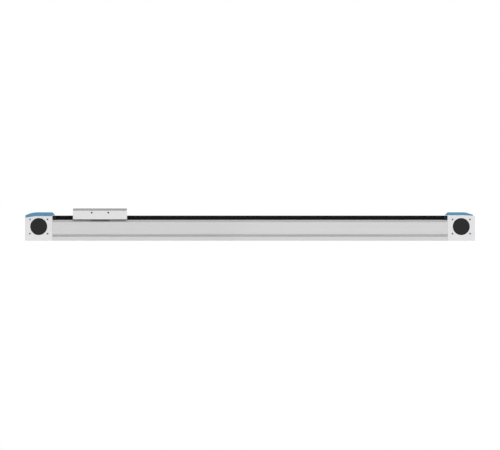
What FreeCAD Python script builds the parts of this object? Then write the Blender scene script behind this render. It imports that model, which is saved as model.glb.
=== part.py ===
import FreeCAD, Part
import math
import os
from collections import namedtuple

# Toothed belt linear axis: an extruded profile carries a recessed ball rail, a carriage runs on
# that rail, and an open belt goes from one end of the carriage over a pulley in each end housing,
# back through the profile, to the other end of the carriage.
# Millimetres. +X along the axis, +Y to the back, +Z up, origin under the middle of the axis.

Vector = FreeCAD.Vector

# Travel
STROKE = 800.0
STORED_TRAVEL = 40.0
STOP_GAP = 1.0

# Fits used all over
PRESS_CLEARANCE = 0.02
SLIP_CLEARANCE = 0.10
THREAD_CLEARANCE = 0.05
THREAD_DEPTH_SHARE = 0.16
CUT_PAST = 1.0
DRILL_POINT_ANGLE = 118.0

# Extruded profile
PROFILE_WIDTH = 80.0
PROFILE_HEIGHT = 50.0
PROFILE_WALL = 4.0
PROFILE_EDGE = 0.6
TOP_BEVEL_HEIGHT = 5.5
TOP_BEVEL_DEPTH = 4.0
SLOT_OPENING = 5.0
SLOT_LIP = 1.8
SLOT_WIDTH = 8.5
SLOT_DEPTH = 6.0
SIDE_SLOT_HEIGHT = 12.3
SLOT_BEVEL_HEIGHT = 4.4
SLOT_BEVEL_DEPTH = 1.4
BASE_SLOT_SPACING = 42.0
CHAMBER_FLOOR_GAP = 2.6
CHAMBER_ROUND = 1.5

# Ball rail
RAIL_WIDTH = 15.0
RAIL_HEIGHT = 14.5
RAIL_STANDOUT = 6.5
RAIL_WAIST_DEPTH = 1.9
RAIL_HEAD = 3.4
RAIL_FOOT = 5.5
RAIL_EDGE = 0.6
RACEWAY_ROUND = 1.0
RAIL_END_GAP = 0.5
RAIL_SCREW = 4.0
RAIL_SCREW_LENGTH = 12.0
RAIL_SCREW_PITCH = 60.0
RAIL_BORE = 4.5
RAIL_COUNTERBORE = 7.5
RAIL_COUNTERBORE_DEPTH = 5.3

# Strips that stand along both edges of the rail's channel
STRIP_GAP = 0.6
STRIP_LIP = 1.6
STRIP_FOOT = 4.4
STRIP_FOOT_THICKNESS = 0.9
STRIP_PAST_TEETH = 0.05

# Toothed belt and its pulleys
BELT_PITCH = 5.0
BELT_WIDTH = 25.0
BELT_BACK = 1.5
BELT_TOOTH_HEIGHT = 1.2
BELT_TIP_WIDTH = 2.5
BELT_FLANK_ANGLE = 25.0
BELT_CORD_DEPTH = 0.615
BELT_OVER_RAIL = 1.15
RETURN_RUN_HEIGHT = 7.5
MESH_CLEARANCE = 0.15
PULLEY_SIDE_PLAY = 0.5
PULLEY_HUB_RADIUS = 19.0
FLANGE_THICKNESS = 1.5
FLANGE_RISE = 0.95
SHAFT_SHOULDER = 0.5
PULLEY_BORE = 8.0
KEYWAY_WIDTH = 3.0
KEYWAY_DEPTH = 1.0

# Pulley bearings
BEARING_BORE = 12.0
BEARING_OUTSIDE = 32.0
BEARING_WIDTH = 10.0
BEARING_RING = 2.6
BEARING_SEAL_INSET = 0.4
BEARING_RUN_GAP = 0.3
SHOULDER_RELIEF = 0.8
CIRCLIP_THICKNESS = 1.2
CIRCLIP_GROOVE = 0.85
CIRCLIP_BAND = 2.8
CIRCLIP_MOUTH = 7.0
CIRCLIP_ROOM = 2.0

# End housings
CAVITY_GAP = 2.15
CAVITY_SIDE_GAP = 1.5
HOUSING_END_WALL = 4.5
HOUSING_EDGE = 0.8
SHAFT_HOLE_GAP = 0.5
CAP_DIAMETER = 40.6
CAP_THICKNESS = 3.0
CAP_RIM = 1.6
CAP_DISH = 0.4
MOTOR_HOLE_SPACING_X = 42.0
MOTOR_HOLE_SPACING_Z = 34.0
MOTOR_SCREW = 5.0
MOTOR_HOLE_DEPTH = 9.0
HOUSING_SCREW = 5.0
HOUSING_SCREW_GRIP = 14.5
UPPER_SCREW_DROP = 3.2
UPPER_SCREW_INSET = 4.0
LOWER_SCREW_HEIGHT = 7.2
SCREW_WALL = 0.75

# Belt covers on the housings
SEAT_BREAK = 26.0
COVER_TOP_RISE = 7.9
COVER_LIP_GAP = 0.65
COVER_OVERHANG = 7.0
COVER_INNER_BEND = 30.0
COVER_WALL = 2.4
COVER_NOSE = 8.0
COVER_SIDE_INSET = 0.3
COVER_EDGE = 1.2

# End buffers
BUFFER_DIAMETER = 8.4
BUFFER_PAST_COVER = 1.0
BUFFER_SPACING = 52.0
BUFFER_STUD = 4.0
BUFFER_STUD_LENGTH = 8.0
BUFFER_BEVEL = 1.0

# Carriage
CARRIAGE_LENGTH = 130.0
CARRIAGE_OVERHANG = 1.5
PLATE_THICKNESS = 11.5
SKIRT_THICKNESS = 5.5
SKIRT_GAP = 1.2
PLATE_CHAMFER = 5.5
CARRIAGE_EDGE = 0.5
INNER_CORNER = 2.0
MOUNT_SCREW = 6.0
MOUNT_SPACING_X = 60.0
MOUNT_SPACING_Y = 50.0
MOUNT_END_INSET = 10.0
CENTRING_BORE = 9.0
CENTRING_DEPTH = 2.1
SIDE_SCREW = 5.0
SIDE_SCREW_SPACING = 40.0
SIDE_SCREW_DROP = 10.2
SIDE_SCREW_DEPTH = 10.0
MAGNET_LENGTH = 44.0
MAGNET_WIDTH = 4.0
MAGNET_HEIGHT = 3.0
MAGNET_STANDOUT = 0.8

# Ball runner under the carriage
RUNNER_WIDTH = 34.0
RUNNER_ROOF = 9.5
RUNNER_FOOT_GAP = 4.3
RUNNER_RAIL_GAP = 0.7
RUNNER_CAP = 8.5
RUNNER_CAP_INSET = 0.4
RUNNER_SEAL = 1.5
RUNNER_SEAL_GAP = 0.35
RUNNER_EDGE = 1.0
RUNNER_END_GAP = 2.0
CHANNEL_CLEARANCE = 2.0
RUNNER_SCREW_INSET = 8.0
RUNNER_SCREW_SPACING = 26.0

# Belt clamps and end plates of the carriage
CLAMP_LENGTH = 24.0
CLAMP_WIDTH = 38.0
CLAMP_BELT_GAP = 0.15
BELT_END_INSET = 0.5
CLAMP_LEDGE_GAP = 0.8
CLAMP_LEDGE_THICKNESS = 2.5
CLAMP_SCREW_SPACING = 32.0
CARRIAGE_SCREW = 4.0
CARRIAGE_SCREW_LENGTH = 12.0
COUNTERBORE_DEPTH = 4.6
TAP_PAST_SCREW = 1.0
END_PLATE = 4.0
END_PLATE_GAP = 0.2
END_PLATE_RUN_GAP = 0.7
END_SCREW = 3.0
END_SCREW_LENGTH = 10.0
END_SCREW_DROP = 2.8

# Socket head cap screws in shares of the thread diameter
HEAD_DIAMETER_SHARE = 1.72
HEAD_GAP = 0.5
SOCKET_SHARE = 0.8
SOCKET_DEPTH_SHARE = 0.5
CLEARANCE_HOLE_SHARE = 1.1
SUNK_HEAD_SHARE = 1.85

# What differs between the two ends: how far the seat of the cover stands above the belt, where
# the cover stops short of the outer face, how far seat line and housing have dropped there, and
# where, how steeply and how roundly the top of the cover turns down towards that face.
End = namedtuple("End", "seat_rise nose_inset nose_drop rim_drop cover_break cover_slope cover_bend")
DRIVE_END = End(
    seat_rise=-0.65,
    nose_inset=0.8,
    nose_drop=3.7,
    rim_drop=3.8,
    cover_break=16.5,
    cover_slope=25.0,
    cover_bend=62.0,
)
IDLER_END = End(
    seat_rise=1.45,
    nose_inset=5.0,
    nose_drop=1.2,
    rim_drop=3.6,
    cover_break=23.5,
    cover_slope=17.5,
    cover_bend=30.0,
)

# Levels above the base
rail_top = PROFILE_HEIGHT + RAIL_STANDOUT
rail_base = rail_top - RAIL_HEIGHT
belt_top = rail_top + BELT_OVER_RAIL + BELT_TOOTH_HEIGHT + BELT_BACK
plate_base = rail_top + RUNNER_ROOF
carriage_top = plate_base + PLATE_THICKNESS
skirt_base = PROFILE_HEIGHT + SKIRT_GAP
cover_top = belt_top + COVER_TOP_RISE
cover_lip = belt_top + COVER_LIP_GAP
seat_level = rail_top - RAIL_COUNTERBORE_DEPTH
strip_top = belt_top - BELT_BACK + STRIP_PAST_TEETH

# The belt loop: as many pulley teeth as fit between the return run and the upper run
back_height = BELT_BACK - BELT_CORD_DEPTH
root_height = -BELT_CORD_DEPTH
tip_height = root_height - BELT_TOOTH_HEIGHT
pitch_diameter_room = belt_top - RETURN_RUN_HEIGHT - 2 * back_height
pulley_teeth = math.floor(math.pi * pitch_diameter_room / BELT_PITCH)
pitch_radius = pulley_teeth * BELT_PITCH / (2 * math.pi)
belt_radius = pitch_radius + back_height
axle_height = belt_top - belt_radius
root_width = BELT_TIP_WIDTH + 2 * BELT_TOOTH_HEIGHT * math.tan(math.radians(BELT_FLANK_ANGLE))

# Lengths along the axis
housing_length = 2 * (belt_radius + CAVITY_GAP + HOUSING_END_WALL)
buffer_length = COVER_OVERHANG + BUFFER_PAST_COVER
profile_length = STROKE + CARRIAGE_LENGTH + 2 * (buffer_length + STOP_GAP)
half_profile = profile_length / 2
half_axis = half_profile + housing_length
axle_x = half_axis - housing_length / 2
carriage_x = buffer_length + STOP_GAP + CARRIAGE_LENGTH / 2 + STORED_TRAVEL - half_profile
clamp_outer = CARRIAGE_LENGTH / 2 - END_PLATE
clamp_inner = clamp_outer - CLAMP_LENGTH
runner_half = clamp_inner - RUNNER_END_GAP
runner_body_half = runner_half - RUNNER_CAP - RUNNER_SEAL

# Widths across the axis
channel_half = RUNNER_WIDTH / 2 + CHANNEL_CLEARANCE
strip_inner = channel_half + STRIP_GAP
strip_outer = strip_inner + STRIP_LIP
pulley_half = BELT_WIDTH / 2 + PULLEY_SIDE_PLAY
cavity_half = pulley_half + FLANGE_THICKNESS + CAVITY_SIDE_GAP
housing_clear_radius = HOUSING_SCREW * CLEARANCE_HOLE_SHARE / 2
upper_screw_y = channel_half + UPPER_SCREW_INSET
bearing_seat = upper_screw_y + housing_clear_radius + SCREW_WALL
bearing_face = bearing_seat + BEARING_WIDTH
cap_seat = bearing_face + CIRCLIP_ROOM
housing_half = cap_seat + CAP_THICKNESS
carriage_half = PROFILE_WIDTH / 2 + CARRIAGE_OVERHANG
skirt_inner = carriage_half - SKIRT_THICKNESS
slot_inner = PROFILE_WIDTH / 2 - SLOT_DEPTH
base_slot_edge = (BASE_SLOT_SPACING + SLOT_WIDTH) / 2
lower_screw_y = (base_slot_edge + slot_inner) / 2
upper_screw_z = PROFILE_HEIGHT - UPPER_SCREW_DROP
shaft_radius = BEARING_BORE / 2 + SHAFT_SHOULDER

ALONG_X = Vector(1, 0, 0)
ALONG_Y = Vector(0, 1, 0)
ALONG_Z = Vector(0, 0, 1)
ORIGIN = Vector(0, 0, 0)


def core_radius(thread):
    """Radius of the tapped hole, and nearly that of the screw's core, for a metric thread."""
    return thread * (1 - THREAD_DEPTH_SHARE) / 2


def outline(points, place):
    """Closed wire through the points; a third number rounds that corner by a tangent arc."""
    corners = [Vector(p[0], p[1], 0) for p in points]
    rounds = [p[2] if len(p) > 2 else 0.0 for p in points]
    entries = []
    for i, corner in enumerate(corners):
        to_last = (corners[i - 1] - corner).normalize()
        to_next = (corners[(i + 1) % len(corners)] - corner).normalize()
        half_angle = to_last.getAngle(to_next) / 2
        reach = rounds[i] / math.tan(half_angle)
        inward = (to_last + to_next).normalize() if rounds[i] else ORIGIN
        middle = corner + inward * (rounds[i] / math.sin(half_angle) - rounds[i])
        entries.append((corner + to_last * reach, middle, corner + to_next * reach))
    edges = []
    for i, (start, middle, end) in enumerate(entries):
        if rounds[i]:
            edges.append(Part.Arc(place(start), place(middle), place(end)).toShape())
        following = entries[(i + 1) % len(entries)][0]
        edges.append(Part.makeLine(place(end), place(following)))
    return Part.Wire(edges)


def side_slab(points, y_from, y_to):
    """Outline in the side view, carried across the axis."""
    wire = outline(points, lambda p: Vector(p.x, y_from, p.y))
    return Part.Face(wire).extrude(ALONG_Y * (y_to - y_from))


def end_bar(points, x_from, x_to):
    """Outline in the end view, carried along the axis."""
    wire = outline(points, lambda p: Vector(x_from, p.x, p.y))
    return Part.Face(wire).extrude(ALONG_X * (x_to - x_from))


def rectangle(u_from, u_to, v_from, v_to, rounding=0.0):
    corners = [(u_from, v_from), (u_to, v_from), (u_to, v_to), (u_from, v_to)]
    return [(u, v, rounding) for u, v in corners]


def mirrored_points(points):
    """Half an outline, from bottom to top on the +Y side, closed by its mirror image."""
    return points + [(-p[0], *p[1:]) for p in reversed(points)]


def rod(foot, direction, radius, length):
    return Part.makeCylinder(radius, length, foot, direction)


def tube(foot, direction, outer, inner, length):
    return rod(foot, direction, outer, length).cut(rod(foot, direction, inner, length))


def drilled_hole(mouth, inward, radius, depth):
    """Blind hole with the cone that a drill leaves, opened past its mouth."""
    bore = rod(mouth - inward * CUT_PAST, inward, radius, depth + CUT_PAST)
    point_length = radius / math.tan(math.radians(DRILL_POINT_ANGLE / 2))
    point = Part.makeCone(radius, 0, point_length, mouth + inward * depth, inward)
    return bore.fuse(point)


def mirror_x(shape):
    return shape.mirror(ORIGIN, ALONG_X)


def mirror_y(shape):
    return shape.mirror(ORIGIN, ALONG_Y)


def mirror_xy(shape):
    """The shape and its mirror images: one for each quarter of the axis."""
    pair = [shape, mirror_y(shape)]
    return pair + [mirror_x(s) for s in pair]


def moved(shape, x):
    return shape.translated(ALONG_X * x)


def group(shapes):
    return Part.makeCompound(shapes)


def cap_screw(thread, length, grip):
    """Socket head cap screw along +X from its head seat at the origin; grip is the tapped end."""
    head_radius = thread * HEAD_DIAMETER_SHARE / 2
    head = rod(Vector(-thread, 0, 0), ALONG_X, head_radius, thread)
    socket_radius = thread * SOCKET_SHARE / math.sqrt(3)
    corners = [k * math.pi / 3 for k in range(6)]
    hexagon = [(socket_radius * math.cos(a), socket_radius * math.sin(a)) for a in corners]
    socket = end_bar(hexagon, -thread - CUT_PAST, -thread * (1 - SOCKET_DEPTH_SHARE))
    plain = rod(ORIGIN, ALONG_X, thread / 2, length - grip)
    tapped_radius = core_radius(thread) - THREAD_CLEARANCE
    tapped = rod(Vector(length - grip, 0, 0), ALONG_X, tapped_radius, grip)
    return head.cut(socket).fuse([plain, tapped]).removeSplitter()


def screw_down(thread, length, grip, x, y, seat):
    """Cap screw that points down, with its head seat at the given level."""
    screw = cap_screw(thread, length, grip)
    screw.rotate(ORIGIN, ALONG_Y, 90)
    return screw.translated(Vector(x, y, seat))


# Profile

def slot_points():
    """Slot outline, opening at the origin and going in towards -u; v runs across it."""
    half = [(CUT_PAST, SLOT_OPENING / 2), (-SLOT_LIP, SLOT_OPENING / 2),
            (-SLOT_LIP, SLOT_WIDTH / 2), (-SLOT_DEPTH, SLOT_WIDTH / 2)]
    return half + [(u, -v) for u, v in reversed(half)]


def profile():
    half = PROFILE_WIDTH / 2
    slot_top = SIDE_SLOT_HEIGHT + SLOT_OPENING / 2
    side = [
        (half - PROFILE_EDGE, 0),
        (half, PROFILE_EDGE),
        (half, SIDE_SLOT_HEIGHT - SLOT_OPENING / 2),
        (half - SLOT_BEVEL_DEPTH, slot_top),
        (half, slot_top + SLOT_BEVEL_HEIGHT),
        (half, PROFILE_HEIGHT - TOP_BEVEL_HEIGHT),
        (half - TOP_BEVEL_DEPTH, PROFILE_HEIGHT),
    ]
    block = end_bar(mirrored_points(side), -half_profile, half_profile)
    ends = (-half_profile - CUT_PAST, half_profile + CUT_PAST)
    channel = rectangle(-channel_half, channel_half, rail_base, PROFILE_HEIGHT + CUT_PAST)
    cuts = [end_bar(channel, *ends)]

    chamber_half = BELT_WIDTH / 2 + CAVITY_SIDE_GAP
    chamber_floor = axle_height - belt_radius - CHAMBER_FLOOR_GAP
    chamber_roof = rail_base - PROFILE_WALL
    chamber = rectangle(-chamber_half, chamber_half, chamber_floor, chamber_roof, CHAMBER_ROUND)
    cuts.append(end_bar(chamber, *ends))
    side_floor = SIDE_SLOT_HEIGHT + SLOT_WIDTH / 2 + PROFILE_WALL
    side_inner = chamber_half + PROFILE_WALL
    side_chamber = rectangle(side_inner, half - PROFILE_WALL, side_floor, chamber_roof, CHAMBER_ROUND)

    side_slot = [(half + u, SIDE_SLOT_HEIGHT + v) for u, v in slot_points()]
    base_slot = [(BASE_SLOT_SPACING / 2 + v, -u) for u, v in slot_points()]
    hole_radius = core_radius(HOUSING_SCREW)
    hole_length = ends[1] - ends[0]
    one_side = [end_bar(points, *ends) for points in (side_chamber, side_slot, base_slot)]
    for y, z in housing_screw_places():
        one_side.append(rod(Vector(ends[0], y, z), ALONG_X, hole_radius, hole_length))
    for cut in one_side:
        cuts += [cut, mirror_y(cut)]
    tapped = core_radius(RAIL_SCREW)
    for x in rail_screw_places():
        foot = Vector(x, 0, chamber_roof - CUT_PAST)
        cuts.append(rod(foot, ALONG_Z, tapped, PROFILE_WALL + 2 * CUT_PAST))
    return block.cut(cuts)


# Ball rail

def rail_outline():
    half = RAIL_WIDTH / 2
    waist = half - RAIL_WAIST_DEPTH
    side = [
        (half - RAIL_EDGE, rail_base),
        (half, rail_base + RAIL_EDGE),
        (half, rail_base + RAIL_FOOT),
        (waist, rail_base + RAIL_FOOT + RAIL_WAIST_DEPTH, RACEWAY_ROUND),
        (waist, rail_top - RAIL_HEAD - RAIL_WAIST_DEPTH, RACEWAY_ROUND),
        (half, rail_top - RAIL_HEAD),
        (half, rail_top - RAIL_EDGE),
        (half - RAIL_EDGE, rail_top),
    ]
    return mirrored_points(side)


def rail_screw_places():
    rail_length = profile_length - 2 * RAIL_END_GAP
    gaps = math.floor((rail_length - RAIL_SCREW_PITCH / 2) / RAIL_SCREW_PITCH)
    return [(k - gaps / 2) * RAIL_SCREW_PITCH for k in range(gaps + 1)]


def guide_rail():
    half = half_profile - RAIL_END_GAP
    bar = end_bar(rail_outline(), -half, half)
    cuts = []
    for x in rail_screw_places():
        cuts.append(rod(Vector(x, 0, rail_base - CUT_PAST), ALONG_Z, RAIL_BORE / 2, RAIL_HEIGHT))
        cuts.append(rod(Vector(x, 0, seat_level), ALONG_Z, RAIL_COUNTERBORE / 2, RAIL_HEIGHT))
    return bar.cut(cuts)


def rail_screws():
    grip = RAIL_SCREW_LENGTH - (seat_level - rail_base)
    places = rail_screw_places()
    return group([screw_down(RAIL_SCREW, RAIL_SCREW_LENGTH, grip, x, 0, seat_level) for x in places])


# Angled plastic strips beside the belt; their lips hide its teeth and keep dirt off the rail

def channel_strips():
    foot_top = PROFILE_HEIGHT + STRIP_FOOT_THICKNESS
    foot_end = strip_inner + STRIP_FOOT
    section = [
        (strip_inner, PROFILE_HEIGHT),
        (foot_end, PROFILE_HEIGHT),
        (foot_end, foot_top),
        (strip_outer, foot_top),
        (strip_outer, strip_top),
        (strip_inner, strip_top),
    ]
    strip = end_bar(section, -half_profile, half_profile)
    return group([strip, mirror_y(strip)])


# End housings, made for the drive end at -X and mirrored for the idler end

def seat_line(end):
    """Top of the housing from its inner face to its outer face, as distance from the outer face."""
    seat = belt_top + end.seat_rise
    return [
        (housing_length, seat),
        (SEAT_BREAK, seat),
        (end.nose_inset, seat - end.nose_drop),
        (0, seat - end.rim_drop),
    ]


def from_outer_face(points):
    return [(p[0] - half_axis, *p[1:]) for p in points]


def housing_screw_places():
    return [(upper_screw_y, upper_screw_z), (lower_screw_y, LOWER_SCREW_HEIGHT)]


def housing(end):
    points = [(0, 0), (housing_length, 0)] + seat_line(end)
    body = side_slab(from_outer_face(points), -housing_half, housing_half)
    rims = [e for e in body.Edges if abs(abs(e.CenterOfMass.y) - housing_half) < PRESS_CLEARANCE]
    body = body.makeChamfer(HOUSING_EDGE, rims)

    cavity_radius = belt_radius + CAVITY_GAP
    above = cover_top - axle_height + cavity_radius
    cavity = rod(Vector(-axle_x, -cavity_half, axle_height), ALONG_Y, cavity_radius, 2 * cavity_half)
    way_corner = Vector(-axle_x, -cavity_half, axle_height - cavity_radius)
    belt_way = Part.makeBox(housing_length, 2 * cavity_half, above, way_corner)
    cuts = [cavity, belt_way]

    one_side = []
    shaft_hole = shaft_radius + SHAFT_HOLE_GAP
    one_side.append(rod(Vector(-axle_x, 0, axle_height), ALONG_Y, shaft_hole, housing_half))
    relief_radius = BEARING_OUTSIDE / 2 - BEARING_RING
    relief_foot = Vector(-axle_x, bearing_seat - SHOULDER_RELIEF, axle_height)
    one_side.append(rod(relief_foot, ALONG_Y, relief_radius, housing_half))
    seat_radius = BEARING_OUTSIDE / 2 + PRESS_CLEARANCE
    one_side.append(rod(Vector(-axle_x, bearing_seat, axle_height), ALONG_Y, seat_radius, housing_half))
    groove_foot = Vector(-axle_x, bearing_face, axle_height)
    groove_width = CIRCLIP_THICKNESS + SLIP_CLEARANCE
    one_side.append(rod(groove_foot, ALONG_Y, BEARING_OUTSIDE / 2 + CIRCLIP_GROOVE, groove_width))
    cap_radius = CAP_DIAMETER / 2 + SLIP_CLEARANCE
    one_side.append(rod(Vector(-axle_x, cap_seat, axle_height), ALONG_Y, cap_radius, housing_half))
    for side_x in (-1, 1):
        for side_z in (-1, 1):
            x = side_x * MOTOR_HOLE_SPACING_X / 2 - axle_x
            z = side_z * MOTOR_HOLE_SPACING_Z / 2 + axle_height
            mouth = Vector(x, housing_half, z)
            one_side.append(drilled_hole(mouth, -ALONG_Y, core_radius(MOTOR_SCREW), MOTOR_HOLE_DEPTH))
    for y, z in housing_screw_places():
        foot = Vector(-half_axis - CUT_PAST, y, z)
        one_side.append(rod(foot, ALONG_X, housing_clear_radius, housing_length + 2 * CUT_PAST))
        sink_radius = HOUSING_SCREW * HEAD_DIAMETER_SHARE / 2 + HEAD_GAP
        one_side.append(rod(foot, ALONG_X, sink_radius, HOUSING_SCREW + HEAD_GAP + CUT_PAST))
    stud_foot = Vector(-half_profile - BUFFER_STUD_LENGTH, BUFFER_SPACING / 2, buffer_level())
    stud_radius = BUFFER_STUD / 2 + THREAD_CLEARANCE
    one_side.append(rod(stud_foot, ALONG_X, stud_radius, BUFFER_STUD_LENGTH + CUT_PAST))
    for cut in one_side:
        cuts += [cut, mirror_y(cut)]
    return body.cut(cuts)


def housing_screws():
    seat_x = HOUSING_SCREW + HEAD_GAP - half_axis
    length = housing_length - HOUSING_SCREW - HEAD_GAP + HOUSING_SCREW_GRIP
    screw = cap_screw(HOUSING_SCREW, length, HOUSING_SCREW_GRIP)
    solids = []
    for y, z in housing_screw_places():
        solids += mirror_xy(screw.translated(Vector(seat_x, y, z)))
    return group(solids)


def belt_cover(end):
    seat = seat_line(end)[:3]
    slope = math.tan(math.radians(end.cover_slope))
    nose_top = cover_top - (end.cover_break - end.nose_inset) * slope
    tip = housing_length + COVER_OVERHANG
    outer = [
        *reversed(seat),
        (housing_length, cover_lip),
        (tip, cover_lip),
        (housing_length, cover_top),
        (end.cover_break, cover_top, end.cover_bend),
        (end.nose_inset, nose_top),
    ]
    half = housing_half - COVER_SIDE_INSET
    shell = side_slab(from_outer_face(outer), -half, half)
    slant = math.hypot(COVER_OVERHANG, cover_top - cover_lip) / (cover_top - cover_lip)
    nose = end.nose_inset - half_axis
    rim_level = max(seat[0][1], cover_lip) + PRESS_CLEARANCE
    rims = []
    for edge in shell.Edges:
        centre = edge.CenterOfMass
        on_side = abs(abs(centre.y) - half) < PRESS_CLEARANCE
        if on_side and centre.z > rim_level and centre.x > nose + PRESS_CLEARANCE:
            rims.append(edge)
    shell = shell.makeFillet(COVER_EDGE, rims)

    roof = cover_top - COVER_WALL
    start = end.nose_inset + COVER_NOSE
    start_roof = roof - (end.cover_break - start) * slope
    low = belt_top + end.seat_rise - end.nose_drop - CUT_PAST
    wall_x = COVER_WALL * slant
    inner = [
        (start, low),
        (tip - wall_x, low),
        (tip - wall_x, cover_lip),
        (housing_length - wall_x + COVER_WALL * COVER_OVERHANG / (cover_top - cover_lip), roof),
        (end.cover_break, roof, COVER_INNER_BEND),
        (start, start_roof),
    ]
    hollow = side_slab(from_outer_face(inner), COVER_WALL - half, half - COVER_WALL)
    return shell.cut(hollow)


def bearing_cap():
    """Round cover plate pressed into the housing over a bearing, with a raised rim."""
    radius = CAP_DIAMETER / 2
    face = cap_seat + CAP_THICKNESS
    disc = rod(Vector(-axle_x, cap_seat, axle_height), ALONG_Y, radius, CAP_THICKNESS)
    dish = rod(Vector(-axle_x, face - CAP_DISH, axle_height), ALONG_Y, radius - CAP_RIM, CAP_THICKNESS)
    return disc.cut(dish)


# Bearings and their circlips, made for the back of the drive end

def bearing_outer_ring():
    """Outer ring with its seals; they close it on both faces, so it is solid to the inner ring."""
    outer = BEARING_OUTSIDE / 2
    race = outer - BEARING_RING
    lip = BEARING_BORE / 2 + PRESS_CLEARANCE + BEARING_RING + BEARING_RUN_GAP
    ring = tube(Vector(-axle_x, bearing_seat, axle_height), ALONG_Y, outer, race, BEARING_WIDTH)
    seal_foot = Vector(-axle_x, bearing_seat + BEARING_SEAL_INSET, axle_height)
    seals = tube(seal_foot, ALONG_Y, race, lip, BEARING_WIDTH - 2 * BEARING_SEAL_INSET)
    return ring.fuse(seals).removeSplitter()


def bearing_inner_ring():
    bore = BEARING_BORE / 2 + PRESS_CLEARANCE
    foot = Vector(-axle_x, bearing_seat, axle_height)
    return tube(foot, ALONG_Y, bore + BEARING_RING, bore, BEARING_WIDTH)


def circlip():
    outer = BEARING_OUTSIDE / 2 + CIRCLIP_GROOVE - SLIP_CLEARANCE
    foot = Vector(-axle_x, bearing_face, axle_height)
    ring = tube(foot, ALONG_Y, outer, outer - CIRCLIP_BAND, CIRCLIP_THICKNESS)
    corner = Vector(-axle_x - CIRCLIP_MOUTH / 2, bearing_face - CUT_PAST, axle_height)
    mouth = Part.makeBox(CIRCLIP_MOUTH, CIRCLIP_THICKNESS + 2 * CUT_PAST, BEARING_OUTSIDE, corner)
    return ring.cut(mouth)


# Rubber buffers on the inner faces of the housings

def buffer_level():
    return (PROFILE_HEIGHT + belt_top) / 2


def end_buffer():
    foot = Vector(-half_profile, BUFFER_SPACING / 2, buffer_level())
    radius = BUFFER_DIAMETER / 2
    straight = buffer_length - BUFFER_BEVEL
    pad = rod(foot, ALONG_X, radius, straight)
    nose_foot = foot + ALONG_X * straight
    nose = Part.makeCone(radius, radius - BUFFER_BEVEL, BUFFER_BEVEL, nose_foot, ALONG_X)
    stud = rod(foot, -ALONG_X, BUFFER_STUD / 2, BUFFER_STUD_LENGTH)
    return pad.fuse([nose, stud]).removeSplitter()


# Pulleys: at_x is the axle, turn the angle of one tooth gap from the top

def pulley(at_x, turn):
    """Toothed pulley in one piece with its journals."""
    step = 2 * math.pi / pulley_teeth
    root_angle = (root_width / 2 + MESH_CLEARANCE) / pitch_radius
    tip_angle = (BELT_TIP_WIDTH / 2 + MESH_CLEARANCE) / pitch_radius
    outside = pitch_radius + root_height - MESH_CLEARANCE / 2
    bottom = pitch_radius + tip_height - MESH_CLEARANCE
    gap = [(-root_angle, outside), (-tip_angle, bottom), (tip_angle, bottom), (root_angle, outside)]
    points = []
    for k in range(pulley_teeth):
        for half_gap, radius in gap:
            angle = turn + k * step + half_gap
            points.append((at_x + radius * math.sin(angle), axle_height + radius * math.cos(angle)))
    wheel = side_slab(points, -pulley_half, pulley_half)
    hub_half = pulley_half + FLANGE_THICKNESS
    steps = [
        (PULLEY_HUB_RADIUS, hub_half),
        (shaft_radius, bearing_seat),
        (BEARING_BORE / 2, bearing_face),
    ]
    for radius, half in steps:
        wheel = wheel.fuse(rod(Vector(at_x, -half, axle_height), ALONG_Y, radius, 2 * half))
    bore = rod(Vector(at_x, -housing_half, axle_height), ALONG_Y, PULLEY_BORE / 2, 2 * housing_half)
    keyway_foot = Vector(at_x - KEYWAY_WIDTH / 2, -housing_half, axle_height)
    keyway = Part.makeBox(KEYWAY_WIDTH, 2 * housing_half, PULLEY_BORE / 2 + KEYWAY_DEPTH, keyway_foot)
    return wheel.cut([bore, keyway])


def pulley_flanges(at_x):
    foot = Vector(at_x, pulley_half, axle_height)
    bore = PULLEY_HUB_RADIUS + PRESS_CLEARANCE
    ring = tube(foot, ALONG_Y, belt_radius + FLANGE_RISE, bore, FLANGE_THICKNESS)
    return group([ring, mirror_y(ring)])


# Belt: s runs along the pitch line from the top of the drive pulley, outwards round it, back
# through the profile and round the idler pulley; height is measured outwards from that line

half_turn = math.pi * pitch_radius
span = 2 * axle_x


def on_belt(s, height):
    radius = pitch_radius + height
    if s < 0:
        return Vector(-axle_x - s, 0, axle_height + radius)
    if s < half_turn:
        angle = s / pitch_radius
        return Vector(-axle_x - radius * math.sin(angle), 0, axle_height + radius * math.cos(angle))
    if s < half_turn + span:
        return Vector(-axle_x + s - half_turn, 0, axle_height - radius)
    if s < 2 * half_turn + span:
        angle = (s - half_turn - span) / pitch_radius
        return Vector(axle_x + radius * math.sin(angle), 0, axle_height - radius * math.cos(angle))
    return Vector(axle_x - (s - 2 * half_turn - span), 0, axle_height + radius)


def belt_ends():
    """Both ends of the belt along s, just inside the inner ends of the carriage's clamps."""
    reach = clamp_inner + BELT_END_INSET
    start = -(carriage_x - reach + axle_x)
    end = 2 * half_turn + span + axle_x - (carriage_x + reach)
    return start, end


def belt_teeth():
    """Places along s of the whole teeth on the belt."""
    start, end = belt_ends()
    first = math.ceil((start + root_width / 2) / BELT_PITCH)
    last = math.floor((end - root_width / 2) / BELT_PITCH)
    return [k * BELT_PITCH for k in range(first, last + 1)]


def tooth_corners(s, clearance=0.0):
    root = root_width / 2 + clearance
    tip = BELT_TIP_WIDTH / 2 + clearance
    low = tip_height - clearance
    return [(s - root, root_height), (s - tip, low), (s + tip, low), (s + root, root_height)]


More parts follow.
